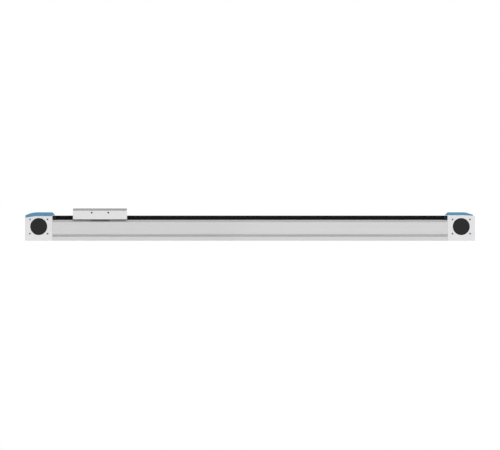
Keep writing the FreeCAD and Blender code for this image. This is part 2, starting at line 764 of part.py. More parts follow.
def toothed_belt():
    start, end = belt_ends()
    toothed_side = [on_belt(start, root_height)]
    for s in belt_teeth():
        toothed_side += [on_belt(*corner) for corner in tooth_corners(s)]
    toothed_side.append(on_belt(end, root_height))
    edges = Part.makePolygon(toothed_side).Edges
    edges.append(Part.makeLine(toothed_side[-1], on_belt(end, back_height)))
    turns = [0, half_turn, half_turn + span, 2 * half_turn + span]
    top_left, low_left, low_right, top_right = [on_belt(s, back_height) for s in turns]
    edges.append(Part.makeLine(on_belt(end, back_height), top_right))
    idler_middle = on_belt(1.5 * half_turn + span, back_height)
    edges.append(Part.Arc(top_right, idler_middle, low_right).toShape())
    edges.append(Part.makeLine(low_right, low_left))
    edges.append(Part.Arc(low_left, on_belt(half_turn / 2, back_height), top_left).toShape())
    edges.append(Part.makeLine(top_left, on_belt(start, back_height)))
    edges.append(Part.makeLine(on_belt(start, back_height), toothed_side[0]))
    face = Part.Face(Part.Wire(edges))
    face.translate(ALONG_Y * (-BELT_WIDTH / 2))
    return face.extrude(ALONG_Y * BELT_WIDTH)


# Carriage, in its own place along the axis at rest

def carriage_plate():
    section = mirrored_points([
        (skirt_inner, skirt_base),
        (carriage_half, skirt_base),
        (carriage_half, carriage_top - PLATE_CHAMFER),
        (carriage_half - PLATE_CHAMFER, carriage_top),
    ])
    section += [(-skirt_inner, plate_base, INNER_CORNER), (skirt_inner, plate_base, INNER_CORNER)]
    half_length = CARRIAGE_LENGTH / 2
    plate = end_bar(section, -half_length, half_length)
    rims = [e for e in plate.Edges if abs(abs(e.CenterOfMass.x) - half_length) < PRESS_CLEARANCE]
    plate = plate.makeChamfer(CARRIAGE_EDGE, rims)
    cuts = [magnet_block(SLIP_CLEARANCE)]
    for x, y in mount_places():
        foot = Vector(x, y, plate_base - CUT_PAST)
        cuts.append(rod(foot, ALONG_Z, core_radius(MOUNT_SCREW), PLATE_THICKNESS + 2 * CUT_PAST))
    for x in (-MOUNT_SPACING_X / 2, MOUNT_SPACING_X / 2):
        foot = Vector(x, 0, carriage_top - CENTRING_DEPTH)
        cuts.append(rod(foot, ALONG_Z, CENTRING_BORE / 2, CENTRING_DEPTH + CUT_PAST))
    for x, y in runner_screw_places() + clamp_screw_places():
        foot = Vector(x, y, plate_base - CUT_PAST)
        bore_radius = CARRIAGE_SCREW * CLEARANCE_HOLE_SHARE / 2
        cuts.append(rod(foot, ALONG_Z, bore_radius, PLATE_THICKNESS + 2 * CUT_PAST))
        sink = Vector(x, y, carriage_top - COUNTERBORE_DEPTH)
        sink_radius = CARRIAGE_SCREW * HEAD_DIAMETER_SHARE / 2 + HEAD_GAP
        cuts.append(rod(sink, ALONG_Z, sink_radius, PLATE_THICKNESS))
    for x in (-SIDE_SCREW_SPACING / 2, SIDE_SCREW_SPACING / 2):
        mouth = Vector(x, -carriage_half, carriage_top - SIDE_SCREW_DROP)
        cuts.append(drilled_hole(mouth, ALONG_Y, core_radius(SIDE_SCREW), SIDE_SCREW_DEPTH))
    return moved(plate.cut(cuts), carriage_x)


def magnet_block(gap):
    """Block of the bar magnet in the front skirt's underside, grown by gap on its four sides."""
    middle = (skirt_inner + carriage_half) / 2
    length = MAGNET_LENGTH + 2 * gap
    width = MAGNET_WIDTH + 2 * gap
    corner = Vector(-length / 2, -middle - width / 2, skirt_base - MAGNET_STANDOUT)
    return Part.makeBox(length, width, MAGNET_HEIGHT, corner)


def switch_magnet():
    """Magnet that a switch in the profile's side slot feels as the carriage passes."""
    return moved(magnet_block(0.0), carriage_x)


def quarter_places(x, y):
    return [(x, y), (-x, y), (x, -y), (-x, -y)]


def mount_places():
    outer = CARRIAGE_LENGTH / 2 - MOUNT_END_INSET
    row = MOUNT_SPACING_Y / 2
    return quarter_places(MOUNT_SPACING_X / 2, row) + quarter_places(outer, row)


def runner_screw_places():
    return quarter_places(runner_body_half - RUNNER_SCREW_INSET, RUNNER_SCREW_SPACING / 2)


def clamp_screw_places():
    return quarter_places((clamp_outer + clamp_inner) / 2, CLAMP_SCREW_SPACING / 2)


def carriage_screws(places):
    seat = carriage_top - COUNTERBORE_DEPTH
    grip = CARRIAGE_SCREW_LENGTH - (seat - plate_base)
    screws = [screw_down(CARRIAGE_SCREW, CARRIAGE_SCREW_LENGTH, grip, x, y, seat) for x, y in places]
    return moved(group(screws), carriage_x)


def tapped_hole(x, y):
    """Tapped hole from the plate's underside down, a little deeper than its screw reaches."""
    grip = CARRIAGE_SCREW_LENGTH - (PLATE_THICKNESS - COUNTERBORE_DEPTH)
    foot = Vector(x, y, plate_base - grip - TAP_PAST_SCREW)
    return rod(foot, ALONG_Z, core_radius(CARRIAGE_SCREW), grip + TAP_PAST_SCREW + CUT_PAST)


def runner_slice(x_from, x_to, inset, rail_gap):
    """Length of the runner's saddle section, drawn in by inset and clear of the rail by rail_gap."""
    half = RUNNER_WIDTH / 2 - inset
    foot = rail_base + RUNNER_FOOT_GAP + inset
    top = plate_base - inset
    saddle = mirrored_points([
        (half - RUNNER_EDGE, foot),
        (half, foot + RUNNER_EDGE),
        (half, top - RUNNER_EDGE),
        (half - RUNNER_EDGE, top),
    ])
    block = end_bar(saddle, x_from, x_to)
    wire = outline(rail_outline(), lambda p: Vector(x_from - CUT_PAST, p.x, p.y))
    clear = Part.Face(wire.makeOffset2D(rail_gap, join=2))
    return block.cut(clear.extrude(ALONG_X * (x_to - x_from + 2 * CUT_PAST)))


def runner_block():
    body = runner_slice(-runner_body_half, runner_body_half, 0, RUNNER_RAIL_GAP)
    body = body.cut([tapped_hole(x, y) for x, y in runner_screw_places()])
    return moved(body, carriage_x)


def runner_end_caps():
    cap_end = runner_body_half + RUNNER_CAP
    cap = runner_slice(runner_body_half, cap_end, RUNNER_CAP_INSET, RUNNER_RAIL_GAP)
    return moved(group([cap, mirror_x(cap)]), carriage_x)


def runner_seals():
    seal = runner_slice(runner_half - RUNNER_SEAL, runner_half, RUNNER_CAP_INSET, RUNNER_SEAL_GAP)
    return moved(group([seal, mirror_x(seal)]), carriage_x)


def end_screw_place():
    return CLAMP_SCREW_SPACING / 2, plate_base - END_SCREW_DROP


def belt_clamp(side):
    """Cast clamp at one end of the carriage; the belt's teeth sit in grooves on its two ledges."""
    half = CLAMP_WIDTH / 2
    ledge_top = belt_top - BELT_BACK - CLAMP_BELT_GAP
    foot = ledge_top - BELT_TOOTH_HEIGHT - CLAMP_LEDGE_THICKNESS
    slot_half = BELT_WIDTH / 2 + CLAMP_BELT_GAP
    mouth_half = RAIL_WIDTH / 2 + CLAMP_LEDGE_GAP
    slot_top = belt_top + CLAMP_BELT_GAP
    side_points = [(mouth_half, foot), (half, foot), (half, plate_base)]
    slot_points_half = [(slot_half, slot_top), (slot_half, ledge_top), (mouth_half, ledge_top)]
    section = side_points + [(-u, v) for u, v in reversed(side_points)]
    section += [(-u, v) for u, v in reversed(slot_points_half)] + slot_points_half
    lengths = sorted((side * clamp_inner, side * clamp_outer))
    clamp = end_bar(section, carriage_x + lengths[0], carriage_x + lengths[1])
    cuts = []
    for s in belt_teeth():
        corners = [on_belt(*corner) for corner in tooth_corners(s, CLAMP_BELT_GAP)]
        middle = (corners[0].x + corners[-1].x) / 2 - carriage_x
        if lengths[0] - root_width < middle < lengths[1] + root_width and corners[0].z > axle_height:
            corners = [corners[0] + ALONG_Z * CUT_PAST, *corners, corners[-1] + ALONG_Z * CUT_PAST]
            cuts.append(side_slab([(c.x, c.z) for c in corners], -slot_half, slot_half))
    for x, y in clamp_screw_places():
        if x * side > 0:
            cuts.append(moved(tapped_hole(x, y), carriage_x))
    screw_y, z = end_screw_place()
    for y in (-screw_y, screw_y):
        foot = Vector(carriage_x + side * (clamp_outer + CUT_PAST), y, z)
        depth = END_SCREW_LENGTH - END_PLATE + TAP_PAST_SCREW + CUT_PAST
        cuts.append(rod(foot, -side * ALONG_X, core_radius(END_SCREW), depth))
    return clamp.cut(cuts)


def sunk_screw():
    """Countersunk screw along -X from its flat head at the origin."""
    head_radius = END_SCREW * SUNK_HEAD_SHARE / 2
    neck = END_SCREW / 2
    cone = Part.makeCone(head_radius, neck, head_radius - neck, ORIGIN, -ALONG_X)
    plain = rod(ORIGIN, -ALONG_X, neck, END_PLATE)
    tapped = rod(ORIGIN, -ALONG_X, core_radius(END_SCREW) - THREAD_CLEARANCE, END_SCREW_LENGTH)
    return cone.fuse([plain, tapped]).removeSplitter()


def end_plate(side):
    """Plate in the mouth of the carriage, cut out for the belt, the rail and the channel's strips."""
    half = skirt_inner - END_PLATE_GAP
    foot = skirt_base + END_PLATE_GAP
    top = plate_base - END_PLATE_GAP
    mouth_half = BELT_WIDTH / 2 + END_PLATE_RUN_GAP
    mouth_top = belt_top + END_PLATE_RUN_GAP
    section = mirrored_points([
        (mouth_half, foot),
        (half, foot),
        (half, top - INNER_CORNER),
        (half - INNER_CORNER, top),
    ])
    section += [(u, mouth_top, END_PLATE_RUN_GAP) for u in (-mouth_half, mouth_half)]
    plate = end_bar(section, clamp_outer, clamp_outer + END_PLATE)
    notch_points = rectangle(
        strip_inner - END_PLATE_RUN_GAP,
        strip_outer + END_PLATE_RUN_GAP,
        foot - CUT_PAST,
        strip_top + END_PLATE_RUN_GAP,
    )
    notch = end_bar(notch_points, clamp_outer - CUT_PAST, clamp_outer + END_PLATE + CUT_PAST)
    cuts = [notch, mirror_y(notch)]
    screw_y, z = end_screw_place()
    head_radius = END_SCREW * SUNK_HEAD_SHARE / 2 + THREAD_CLEARANCE
    neck = END_SCREW / 2 + THREAD_CLEARANCE
    for y in (-screw_y, screw_y):
        face = Vector(clamp_outer + END_PLATE, y, z)
        cuts.append(Part.makeCone(head_radius, neck, head_radius - neck, face, -ALONG_X))
        cuts.append(rod(face, -ALONG_X, neck, END_PLATE + CUT_PAST))
    plate = plate.cut(cuts)
    return moved(plate if side > 0 else mirror_x(plate), carriage_x)


def end_plate_screws():
    y, z = end_screw_place()
    screw = sunk_screw().translated(Vector(clamp_outer + END_PLATE, y, z))
    return moved(group(mirror_xy(screw)), carriage_x)


idler_turn = math.pi + (half_turn + span) / pitch_radius
inner_rings = [bearing_inner_ring(), mirror_y(bearing_inner_ring())]

nodes = {
    "profile": profile(),
    "guide_rail": guide_rail(),
    "rail_screws": rail_screws(),
    "channel_strips": channel_strips(),
    "drive_housing": housing(DRIVE_END),
    "idler_housing": mirror_x(housing(IDLER_END)),
    "housing_screws": housing_screws(),
    "drive_belt_cover": belt_cover(DRIVE_END),
    "idler_belt_cover": mirror_x(belt_cover(IDLER_END)),
    "drive_cap_rear": bearing_cap(),
    "drive_cap_front": mirror_y(bearing_cap()),
    "idler_cap_rear": mirror_x(bearing_cap()),
    "idler_cap_front": mirror_x(mirror_y(bearing_cap())),
    "bearing_outer_rings": group(mirror_xy(bearing_outer_ring())),
    "bearing_circlips": group(mirror_xy(circlip())),
    "end_buffers": group(mirror_xy(end_buffer())),
    "toothed_belt": toothed_belt(),
    "drive_pulley": pulley(-axle_x, 0.0),
    "drive_pulley_flanges": pulley_flanges(-axle_x),
    "drive_bearing_inner_rings": group(inner_rings),
    "idler_pulley": pulley(axle_x, idler_turn),
    "idler_pulley_flanges": pulley_flanges(axle_x),
    "idler_bearing_inner_rings": group([mirror_x(ring) for ring in inner_rings]),
    "carriage_plate": carriage_plate(),
    "switch_magnet": switch_magnet(),
    "runner_block": runner_block(),
    "runner_end_caps": runner_end_caps(),
    "runner_seals": runner_seals(),
    "runner_screws": carriage_screws(runner_screw_places()),
    "left_belt_clamp": belt_clamp(-1),
    "right_belt_clamp": belt_clamp(1),
    "clamp_screws": carriage_screws(clamp_screw_places()),
    "left_end_plate": end_plate(-1),
    "right_end_plate": end_plate(1),
    "end_plate_screws": end_plate_screws(),
}

os.makedirs("parts", exist_ok=True)
for name, shape in nodes.items():
    shape.exportStep(f"parts/{name}.step")
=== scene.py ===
import math

import bpy
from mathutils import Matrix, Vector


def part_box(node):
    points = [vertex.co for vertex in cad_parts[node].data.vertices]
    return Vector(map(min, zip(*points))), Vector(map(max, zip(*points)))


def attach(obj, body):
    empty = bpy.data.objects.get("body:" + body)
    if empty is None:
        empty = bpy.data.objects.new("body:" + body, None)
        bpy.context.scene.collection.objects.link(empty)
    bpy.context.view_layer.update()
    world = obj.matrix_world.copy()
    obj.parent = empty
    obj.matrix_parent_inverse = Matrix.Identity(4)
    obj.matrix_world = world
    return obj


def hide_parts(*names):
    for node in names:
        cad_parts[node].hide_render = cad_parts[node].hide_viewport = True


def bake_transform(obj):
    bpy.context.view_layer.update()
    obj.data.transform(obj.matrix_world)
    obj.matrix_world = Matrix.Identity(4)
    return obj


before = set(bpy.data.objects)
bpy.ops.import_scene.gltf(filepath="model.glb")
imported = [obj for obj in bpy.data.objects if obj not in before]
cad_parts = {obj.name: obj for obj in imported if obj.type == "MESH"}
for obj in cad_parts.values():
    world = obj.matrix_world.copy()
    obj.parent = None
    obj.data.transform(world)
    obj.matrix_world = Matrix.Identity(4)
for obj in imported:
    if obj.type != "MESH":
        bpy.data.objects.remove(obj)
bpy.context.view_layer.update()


# Profile
# The long extruded aluminium bar that carries everything. It is natural anodised, the die leaves
# faint lines along its whole length, and deep in its slots it is painted darker, as painted shade.

class Wire:
    """One output in a node tree; sums and products with it add the Math nodes for them."""

    def __init__(self, tree, socket=None):
        self.tree = tree
        self.socket = socket

    def node(self, kind, settings, sockets, output=0):
        """Add a node: its settings first, then the value or link of each socket."""
        made = self.tree.nodes.new("ShaderNode" + kind)
        for name, value in settings.items():
            setattr(made, name, value)
        for name, value in sockets.items():
            inlet = made.inputs[name]
            if isinstance(value, Wire):
                self.tree.links.new(value.socket, inlet)
            elif inlet.type == "RGBA":
                inlet.default_value = (*value, 1.0)
            else:
                inlet.default_value = value
        return Wire(self.tree, made.outputs[output] if made.outputs else None)

    def maths(self, operation, first, second):
        return self.node("Math", {"operation": operation}, {0: first, 1: second})

    def __add__(self, other):
        return self.maths("ADD", self, other)

    def __radd__(self, other):
        return self.maths("ADD", other, self)

    def __sub__(self, other):
        return self.maths("SUBTRACT", self, other)

    def __rsub__(self, other):
        return self.maths("SUBTRACT", other, self)

    def __mul__(self, other):
        return self.maths("MULTIPLY", self, other)

    def __rmul__(self, other):
        return self.maths("MULTIPLY", other, self)

    def __pow__(self, other):
        return self.maths("POWER", self, other)


def new_finish(name):
    """An empty material, and the wire that its nodes start from."""
    material = bpy.data.materials.new(name)
    material.use_nodes = True
    material.node_tree.nodes.clear()
    return material, Wire(material.node_tree)


def close_finish(shade, sockets):
    shader = shade.node("BsdfPrincipled", {}, sockets)
    shade.node("OutputMaterial", {}, {"Surface": shader})


def dress(material, *names):
    """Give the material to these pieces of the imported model."""
    for name in names:
        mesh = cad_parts[name].data
        mesh.materials.clear()
        mesh.materials.append(material)


def grain(shade, per_metre, detail=3.0):
    """Noise from 0 to 1, with so many grains per metre along each axis."""
    place = shade.node("TexCoord", {}, {}, "Object")
    spread = shade.node("Mapping", {}, {"Vector": place, "Scale": per_metre})
    return shade.node("TexNoise", {}, {"Vector": spread, "Scale": 1.0, "Detail": detail}, "Fac")


def between(shade, factor, first, second):
    """Colour that goes from the first to the second with the factor."""
    factor_inlet, first_inlet, second_inlet, colour_outlet = 0, 6, 7, 2
    sockets = {factor_inlet: factor, first_inlet: first, second_inlet: second}
    return shade.node("Mix", {"data_type": "RGBA"}, sockets, colour_outlet)


def eased_edges(shade, radius):
    """Surface direction with the edges rounded to that radius."""
    return shade.node("Bevel", {"samples": 6}, {"Radius": radius})


def relief(shade, height, depth, edge=0.0003):
    """Surface direction for a relief of that depth in metres, with the edges broken."""
    eased = eased_edges(shade, edge)
    sockets = {"Height": height, "Distance": depth, "Strength": 1.0, "Normal": eased}
    return shade.node("Bump", {}, sockets, "Normal")


def edges_of(shade, width):
    """1 along the edges, up to about that width from them, and 0 on the open faces."""
    facing = shade.node("NewGeometry", {}, {}, "True Normal")
    sockets = {0: eased_edges(shade, width), 1: facing}
    cosine = shade.node("VectorMath", {"operation": "DOT_PRODUCT"}, sockets, "Value")
    open_face, full_edge = 0.99, 0.88
    limits = {"From Min": open_face, "From Max": full_edge}
    return shade.node("MapRange", {}, {"Value": cosine, **limits})


def hollows_of(shade, reach):
    """0 on open faces, up to 1 where walls of the same piece stand round within that reach."""
    settings = {"samples": 8, "only_local": True}
    return 1.0 - shade.node("AmbientOcclusion", settings, {"Distance": reach}, "AO")


def drawn_aluminium(name, dark, light, dust_and_shade, die_lines, roughness):
    """Satin anodised: lines along the axis, edges rubbed brighter and painted shade in the
    hollows.
    """
    material, shade = new_finish(name)
    lines = grain(shade, (1.2, die_lines, die_lines), detail=4.0)
    cloud = grain(shade, (9.0, 30.0, 30.0))
    rubbed = edges_of(shade, width=0.0004)
    clean = between(shade, 0.55 * lines + 0.30 * cloud + 0.15 * rubbed, dark, light)
    # Hollows of the piece are darkened here: painted shade.
    painted_shade = hollows_of(shade, reach=0.008) * (0.13 + 0.2 * cloud)
    close_finish(shade, {
        "Base Color": between(shade, painted_shade, clean, dust_and_shade),
        "Metallic": 0.9,
        "Roughness": roughness + 0.08 * cloud + 0.06 * lines - 0.08 * rubbed,
        "Normal": relief(shade, lines, depth=0.000008),
    })
    return material


profile_aluminium = drawn_aluminium(
    "extruded_aluminium", (0.66, 0.65, 0.655), (0.79, 0.782, 0.786), dust_and_shade=(0.12, 0.118, 0.119),
    die_lines=420.0, roughness=0.42)
dress(profile_aluminium, "profile")


# Guide rail
# Hardened steel rail, ground and then coated black, let into the channel along the profile's top.
# A row of zinc plated socket head screws holds it down from above.

def dark_steel(name, dark, light, roughness):
    """Steel with a thin dark coat, through which the lines of the grinding show."""
    material, shade = new_finish(name)
    lines = grain(shade, (4.0, 900.0, 900.0))
    cloud = grain(shade, (40.0, 60.0, 60.0))
    close_finish(shade, {
        "Base Color": between(shade, 0.5 * lines + 0.5 * cloud, dark, light),
        "Metallic": 0.6,
        "Roughness": roughness + 0.15 * cloud,
        "Normal": relief(shade, lines, depth=0.000004),
    })
    return material


def even_grain(shade, per_metre, detail=3.0):
    """Noise with as many grains per metre along all three axes."""
    return grain(shade, (per_metre, per_metre, per_metre), detail)


def bright_steel(name, dark, light, roughness):
    """Ground or plated steel with short fine scratches."""
    material, shade = new_finish(name)
    scratches = grain(shade, (250.0, 1800.0, 1800.0))
    cloud = even_grain(shade, 120.0)
    close_finish(shade, {
        "Base Color": between(shade, 0.5 * scratches + 0.5 * cloud, dark, light),
        "Metallic": 1.0,
        "Roughness": roughness + 0.12 * cloud,
        "Normal": relief(shade, scratches, depth=0.000003, edge=0.00015),
    })
    return material


rail_steel = dark_steel(
    "black_coated_rail", (0.008, 0.008, 0.009), (0.018, 0.018, 0.019), roughness=0.42)
zinc_plate = bright_steel(
    "zinc_plated_screws", (0.34, 0.34, 0.35), (0.52, 0.52, 0.53), roughness=0.28)
dress(rail_steel, "guide_rail")
dress(zinc_plate, "rail_screws")


# Channel strips
# Angled strips of black plastic glued along both edges of the channel. Their lips stand up beside
# the belt and keep dirt off the rail; they are extruded, so fine lines run along them.

def extruded_plastic(name, dark, light, gloss):
    material, shade = new_finish(name)
    lines = grain(shade, (2.0, 1100.0, 1100.0), detail=4.0)
    # This mottle is a random dust tone only, with no painted shade.
    dust_and_shade = grain(shade, (30.0, 90.0, 90.0))
    close_finish(shade, {
        "Base Color": between(shade, 0.5 * lines + 0.5 * dust_and_shade, dark, light),
        "Roughness": 0.58 + 0.16 * dust_and_shade,
        "Specular IOR Level": gloss,
        "Normal": relief(shade, lines, depth=0.000006),
    })
    return material


strip_plastic = extruded_plastic(
    "extruded_plastic", (0.003, 0.003, 0.003), (0.007, 0.007, 0.0075), gloss=0.12)
dress(strip_plastic, "channel_strips")


# Toothed pulleys and their bearings
# Each end housing holds a hobbed aluminium pulley with steel flange rings. It runs in two sealed
# ball bearings, which circlips hold in the housing.

# The pulley's hollows are darkened the same way, as painted shade.
pulley_aluminium = drawn_aluminium(
    "hobbed_aluminium", (0.48, 0.48, 0.49), (0.60, 0.60, 0.61), dust_and_shade=(0.10, 0.10, 0.10),
    die_lines=1400.0, roughness=0.34)
bearing_steel = bright_steel(
    "bearing_steel", (0.42, 0.42, 0.43), (0.58, 0.58, 0.59), roughness=0.18)
spring_steel = dark_steel(
    "phosphated_spring_steel", (0.03, 0.03, 0.03), (0.07, 0.07, 0.07), roughness=0.45)
dress(pulley_aluminium, "drive_pulley", "idler_pulley")
dress(zinc_plate, "drive_pulley_flanges", "idler_pulley_flanges")
dress(bearing_steel, "bearing_outer_rings")
dress(bearing_steel, "drive_bearing_inner_rings", "idler_bearing_inner_rings")
dress(spring_steel, "bearing_circlips")


# End housings
# Milled aluminium blocks at both ends of the profile, fine blasted and natural anodised. Four long
# socket head screws go through each of them into the profile.

def blasted_aluminium(name, dark, light):
    material, shade = new_finish(name)
    speckle = even_grain(shade, 1100.0, detail=2.0)
    cloud = even_grain(shade, 25.0)
    rubbed = edges_of(shade, width=0.0005)
    close_finish(shade, {
        "Base Color": between(shade, 0.55 * speckle + 0.35 * cloud + 0.10 * rubbed, dark, light),
        "Metallic": 0.9,
        "Roughness": 0.52 + 0.08 * cloud - 0.12 * rubbed,
        "Normal": relief(shade, speckle, depth=0.00001, edge=0.0004),
    })
    return material


housing_aluminium = blasted_aluminium(
    "blasted_aluminium", (0.755, 0.743, 0.757), (0.945, 0.934, 0.947))
dress(housing_aluminium, "drive_housing", "idler_housing")
dress(zinc_plate, "housing_screws")


# Bearing caps
# Round black plastic caps pressed into both sides of each housing. Their moulds were turned, so
# faint rings run round the axle.

RING_PITCH = 0.0008

axle_low, axle_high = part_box("idler_pulley")
axle_x = (axle_low.x + axle_high.x) / 2
axle_z = (axle_low.z + axle_high.z) / 2


def place_along(shade, axis):
    """How far along that axis a point lies, in metres."""
    place = shade.node("TexCoord", {}, {}, "Object")
    return shade.node("SeparateXYZ", {}, {"Vector": place}, axis)


def from_axle(shade):
    """Distance from the axle of the nearer end."""
    up = place_along(shade, "Z") - axle_z
    out = shade.node("Math", {"operation": "ABSOLUTE"}, {0: place_along(shade, "X")}) - axle_x
    return (out * out + up * up) ** 0.5


def waves(shade, distance, pitch):
    """Waves from -1 to 1 along a distance, one for each pitch."""
    return shade.node("Math", {"operation": "SINE"}, {0: distance * (2 * math.pi / pitch)})


def turned_plastic(name, dark, light):
    material, shade = new_finish(name)
    rings = waves(shade, from_axle(shade), RING_PITCH)
    cloud = even_grain(shade, 90.0, detail=4.0)
    close_finish(shade, {
        "Base Color": between(shade, 0.15 * rings + cloud, dark, light),
        "Roughness": 0.40 + 0.14 * cloud + 0.03 * rings,
        "Specular IOR Level": 0.25,
        "Normal": relief(shade, rings, depth=0.000004, edge=0.0004),
    })
    return material


cap_plastic = turned_plastic("cap_plastic", (0.009, 0.0085, 0.009), (0.018, 0.017, 0.0175))
dress(cap_plastic, "drive_cap_front", "drive_cap_rear", "idler_cap_front", "idler_cap_rear")


# Belt covers
# Blue plastic hoods that close each housing over its pulley, moulded with a fine matte grain and
# set on from above. Their edges are paler, partly from wear in handling and partly as a painted
# highlight.

def moulded_plastic(name, dark, light, worn_and_highlit, edge):
    """Eroded mould grain with painted shade in its pits, and edges paler up to that far from them.
    """
    material, shade = new_finish(name)
    pits = even_grain(shade, 1400.0)
    cloud = even_grain(shade, 35.0)
    rubbed = edges_of(shade, edge)
    skin = between(shade, 0.6 * pits + 0.4 * cloud, dark, light)
    close_finish(shade, {
        # Edges are painted paler: partly wear, partly a painted highlight.
        "Base Color": between(shade, rubbed * (0.5 + 0.5 * pits), skin, worn_and_highlit),
        "Roughness": 0.44 + 0.16 * pits - 0.08 * rubbed,
        "Specular IOR Level": 0.4,
        "Normal": relief(shade, pits, depth=0.000018, edge=0.0004),
    })
    return material


blue_plastic = moulded_plastic(
    "blue_plastic", (0.075, 0.250, 0.400), (0.109, 0.300, 0.472), worn_and_highlit=(0.190, 0.410, 0.590),
    edge=0.0006)
dress(blue_plastic, "drive_belt_cover", "idler_belt_cover")


# End buffers
# Two round rubber pads on the inner face of each housing, which stop the carriage softly. They
# are moulded with studs that screw into the housing.

def moulded_rubber(name, dark, light):
    material, shade = new_finish(name)
    bloom = even_grain(shade, 60.0, detail=4.0)
    pores = even_grain(shade, 2200.0, detail=2.0)
    close_finish(shade, {
        "Base Color": between(shade, 0.7 * bloom + 0.3 * pores, dark, light),
        "Roughness": 0.62 + 0.2 * bloom,
        "Normal": relief(shade, pores, depth=0.00001),
    })
    return material


buffer_rubber = moulded_rubber("buffer_rubber", (0.010, 0.010, 0.010), (0.024, 0.024, 0.024))
dress(buffer_rubber, "end_buffers")


# Ball runner
# The saddle that rolls on the rail: a ground steel block between two plastic end caps, with rubber
# lips that wipe the rail. Four screws pull it up against the carriage.

runner_steel = bright_steel(
    "runner_steel", (0.22, 0.22, 0.23), (0.34, 0.34, 0.35), roughness=0.30)
black_plastic = moulded_plastic(
    "black_plastic", (0.008, 0.008, 0.008), (0.018, 0.017, 0.0175), worn_and_highlit=(0.030, 0.030, 0.030),
    edge=0.0005)
dress(runner_steel, "runner_block")
dress(black_plastic, "runner_end_caps")
dress(buffer_rubber, "runner_seals")
dress(zinc_plate, "runner_screws")


# Belt clamps
# Cast bronze blocks at both ends of the carriage. The teeth of the belt sit in grooves of theirs,
# and screws from above hold them to the carriage.

def cast_bronze(name, dark, light):
    material, shade = new_finish(name)
    skin = even_grain(shade, 500.0, detail=5.0)
    cloud = even_grain(shade, 80.0)
    close_finish(shade, {
        "Base Color": between(shade, 0.4 * skin + 0.6 * cloud, dark, light),
        "Metallic": 1.0,
        "Roughness": 0.42 + 0.2 * skin,
        "Normal": relief(shade, skin, depth=0.00003),
    })
    return material


clamp_bronze = cast_bronze("cast_bronze", (0.33, 0.20, 0.09), (0.55, 0.37, 0.18))
dress(clamp_bronze, "left_belt_clamp", "right_belt_clamp")
dress(zinc_plate, "clamp_screws")


# Carriage
# A milled aluminium plate with skirts, natural anodised, with faint arcs from the mill and painted
# shade on its underside. Black plates are screwed into its ends, and a bar magnet is glued under
# its front.

MILL_RADIUS = 0.06
MILL_FEED = 0.0009


def undersides(shade):
    """1 on faces that look down, and 0 on upright faces and tops."""
    facing = shade.node("NewGeometry", {}, {}, "True Normal")
    up = shade.node("SeparateXYZ", {}, {"Vector": facing}, "Z")
    steep, level = -0.3, -0.8
    return shade.node("MapRange", {}, {"Value": up, "From Min": steep, "From Max": level})


def milled_aluminium(name, dark, light, dust_and_shade):
    """Satin anodised: arcs of the mill, edges rubbed brighter and painted shade on the underside.
    """
    material, shade = new_finish(name)
    across = place_along(shade, "Y")
    swept = place_along(shade, "X") - (MILL_RADIUS ** 2 - across * across) ** 0.5
    arcs = waves(shade, swept, MILL_FEED)
    lines = grain(shade, (1.2, 700.0, 700.0), detail=4.0)
    cloud = grain(shade, (9.0, 30.0, 30.0))
    rubbed = edges_of(shade, width=0.0004)
    marks = 0.05 * arcs + 0.55 * lines + 0.30 * cloud + 0.15 * rubbed
    # Faces that look down are painted dark: painted shade under the carriage.
    painted_shade = undersides(shade) * (0.5 + 0.3 * cloud)
    close_finish(shade, {
        "Base Color": between(shade, painted_shade, between(shade, marks, dark, light), dust_and_shade),
        "Metallic": 0.9,
        "Roughness": 0.34 + 0.08 * cloud + 0.06 * lines - 0.08 * rubbed,
        "Normal": relief(shade, 0.25 * arcs + lines, depth=0.000008),
    })
    return material


carriage_aluminium = milled_aluminium(
    "milled_aluminium", (0.77, 0.77, 0.773), (0.87, 0.87, 0.873), dust_and_shade=(0.03, 0.03, 0.03))
magnet_ferrite = moulded_plastic(
    "bonded_ferrite", (0.010, 0.010, 0.011), (0.030, 0.029, 0.030), worn_and_highlit=(0.050, 0.049, 0.050),
    edge=0.0003)
dress(carriage_aluminium, "carriage_plate")
dress(black_plastic, "left_end_plate", "right_end_plate")
dress(zinc_plate, "end_plate_screws")
dress(magnet_ferrite, "switch_magnet")


# Toothed belt
# Polyurethane belt with trapezoid teeth and a ground back. It is open: one end sits in each clamp
# of the carriage, and between them it goes round both pulleys and back through the profile.

PITCH = 0.005
PULLEY_TEETH = 32
TOOTH_ROOT = 0.003619
TOOTH_TIP = 0.0025
TOOTH_HEIGHT = 0.0012
BELT_BACK = 0.0015
BELT_WIDTH = 0.025
BACK_EDGE = 0.0003
CLAMP_END = 0.0005

pitch_radius = PULLEY_TEETH * PITCH / (2 * math.pi)
half_turn = PULLEY_TEETH * PITCH / 2
span = 2 * axle_x
loop_end = 2 * half_turn + span
belt_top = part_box("toothed_belt")[1].z
back_height = belt_top - axle_z - pitch_radius
root_height = back_height - BELT_BACK
left_clamp_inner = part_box("left_belt_clamp")[1].x - CLAMP_END
right_clamp_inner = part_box("right_belt_clamp")[0].x + CLAMP_END


def ground_polyurethane(name, dark, light):
    material, shade = new_finish(name)
    lines = grain(shade, (12.0, 1500.0, 300.0))
    cloud = grain(shade, (20.0, 60.0, 60.0))
    close_finish(shade, {
        "Base Color": between(shade, 0.5 * lines + 0.5 * cloud, dark, light),
        "Roughness": 0.48 + 0.16 * lines,
        "Normal": relief(shade, lines, depth=0.00001),
    })
    return material


belt_polyurethane = ground_polyurethane(
    "belt_polyurethane", (0.030, 0.030, 0.031), (0.050, 0.050, 0.052))


